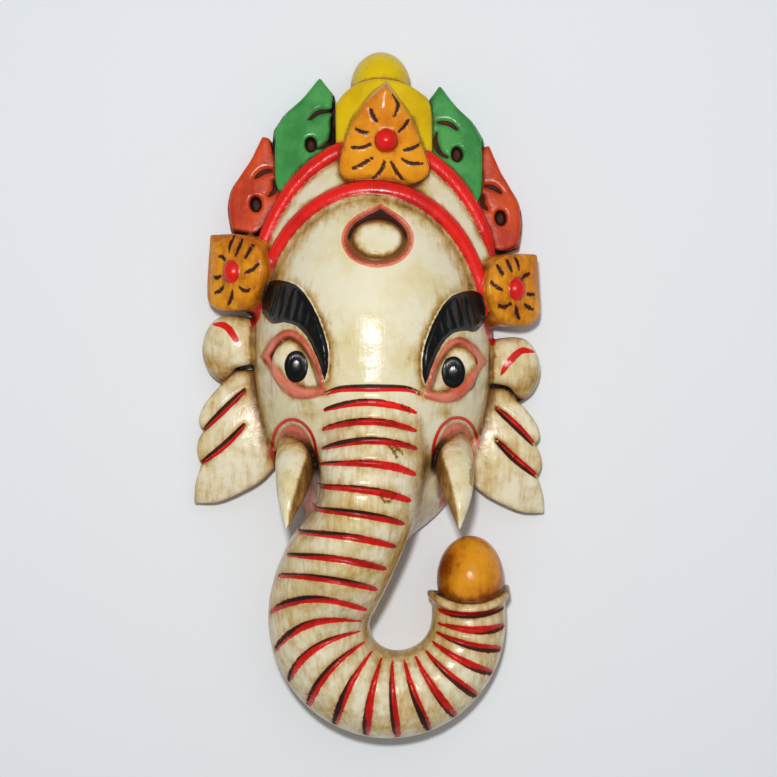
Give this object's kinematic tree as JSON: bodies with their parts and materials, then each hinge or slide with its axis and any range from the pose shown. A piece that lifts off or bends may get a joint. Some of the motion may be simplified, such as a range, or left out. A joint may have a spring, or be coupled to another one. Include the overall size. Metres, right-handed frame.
{
  "type": "ganesha mask",
  "caption": "Carved and painted wooden wall mask of the elephant-headed deity Ganesha, with a ringed curling trunk, tusks, fanned ears and a leafy crown over a hollowed back.",
  "frame": {"origin": "centre of the outline on the flat back", "axes": "+X to the viewer's right, +Y from the trunk's curl towards the crown, +Z out of the flat back"},
  "size_m": [0.196, 0.3797, 0.097],
  "materials": {
    "painted_wood": "aged cream, red, green, yellow and ochre paint under gloss lacquer"
  },
  "bodies": {
    "root": {"mask": "painted_wood"}
  },
  "joints": []
}
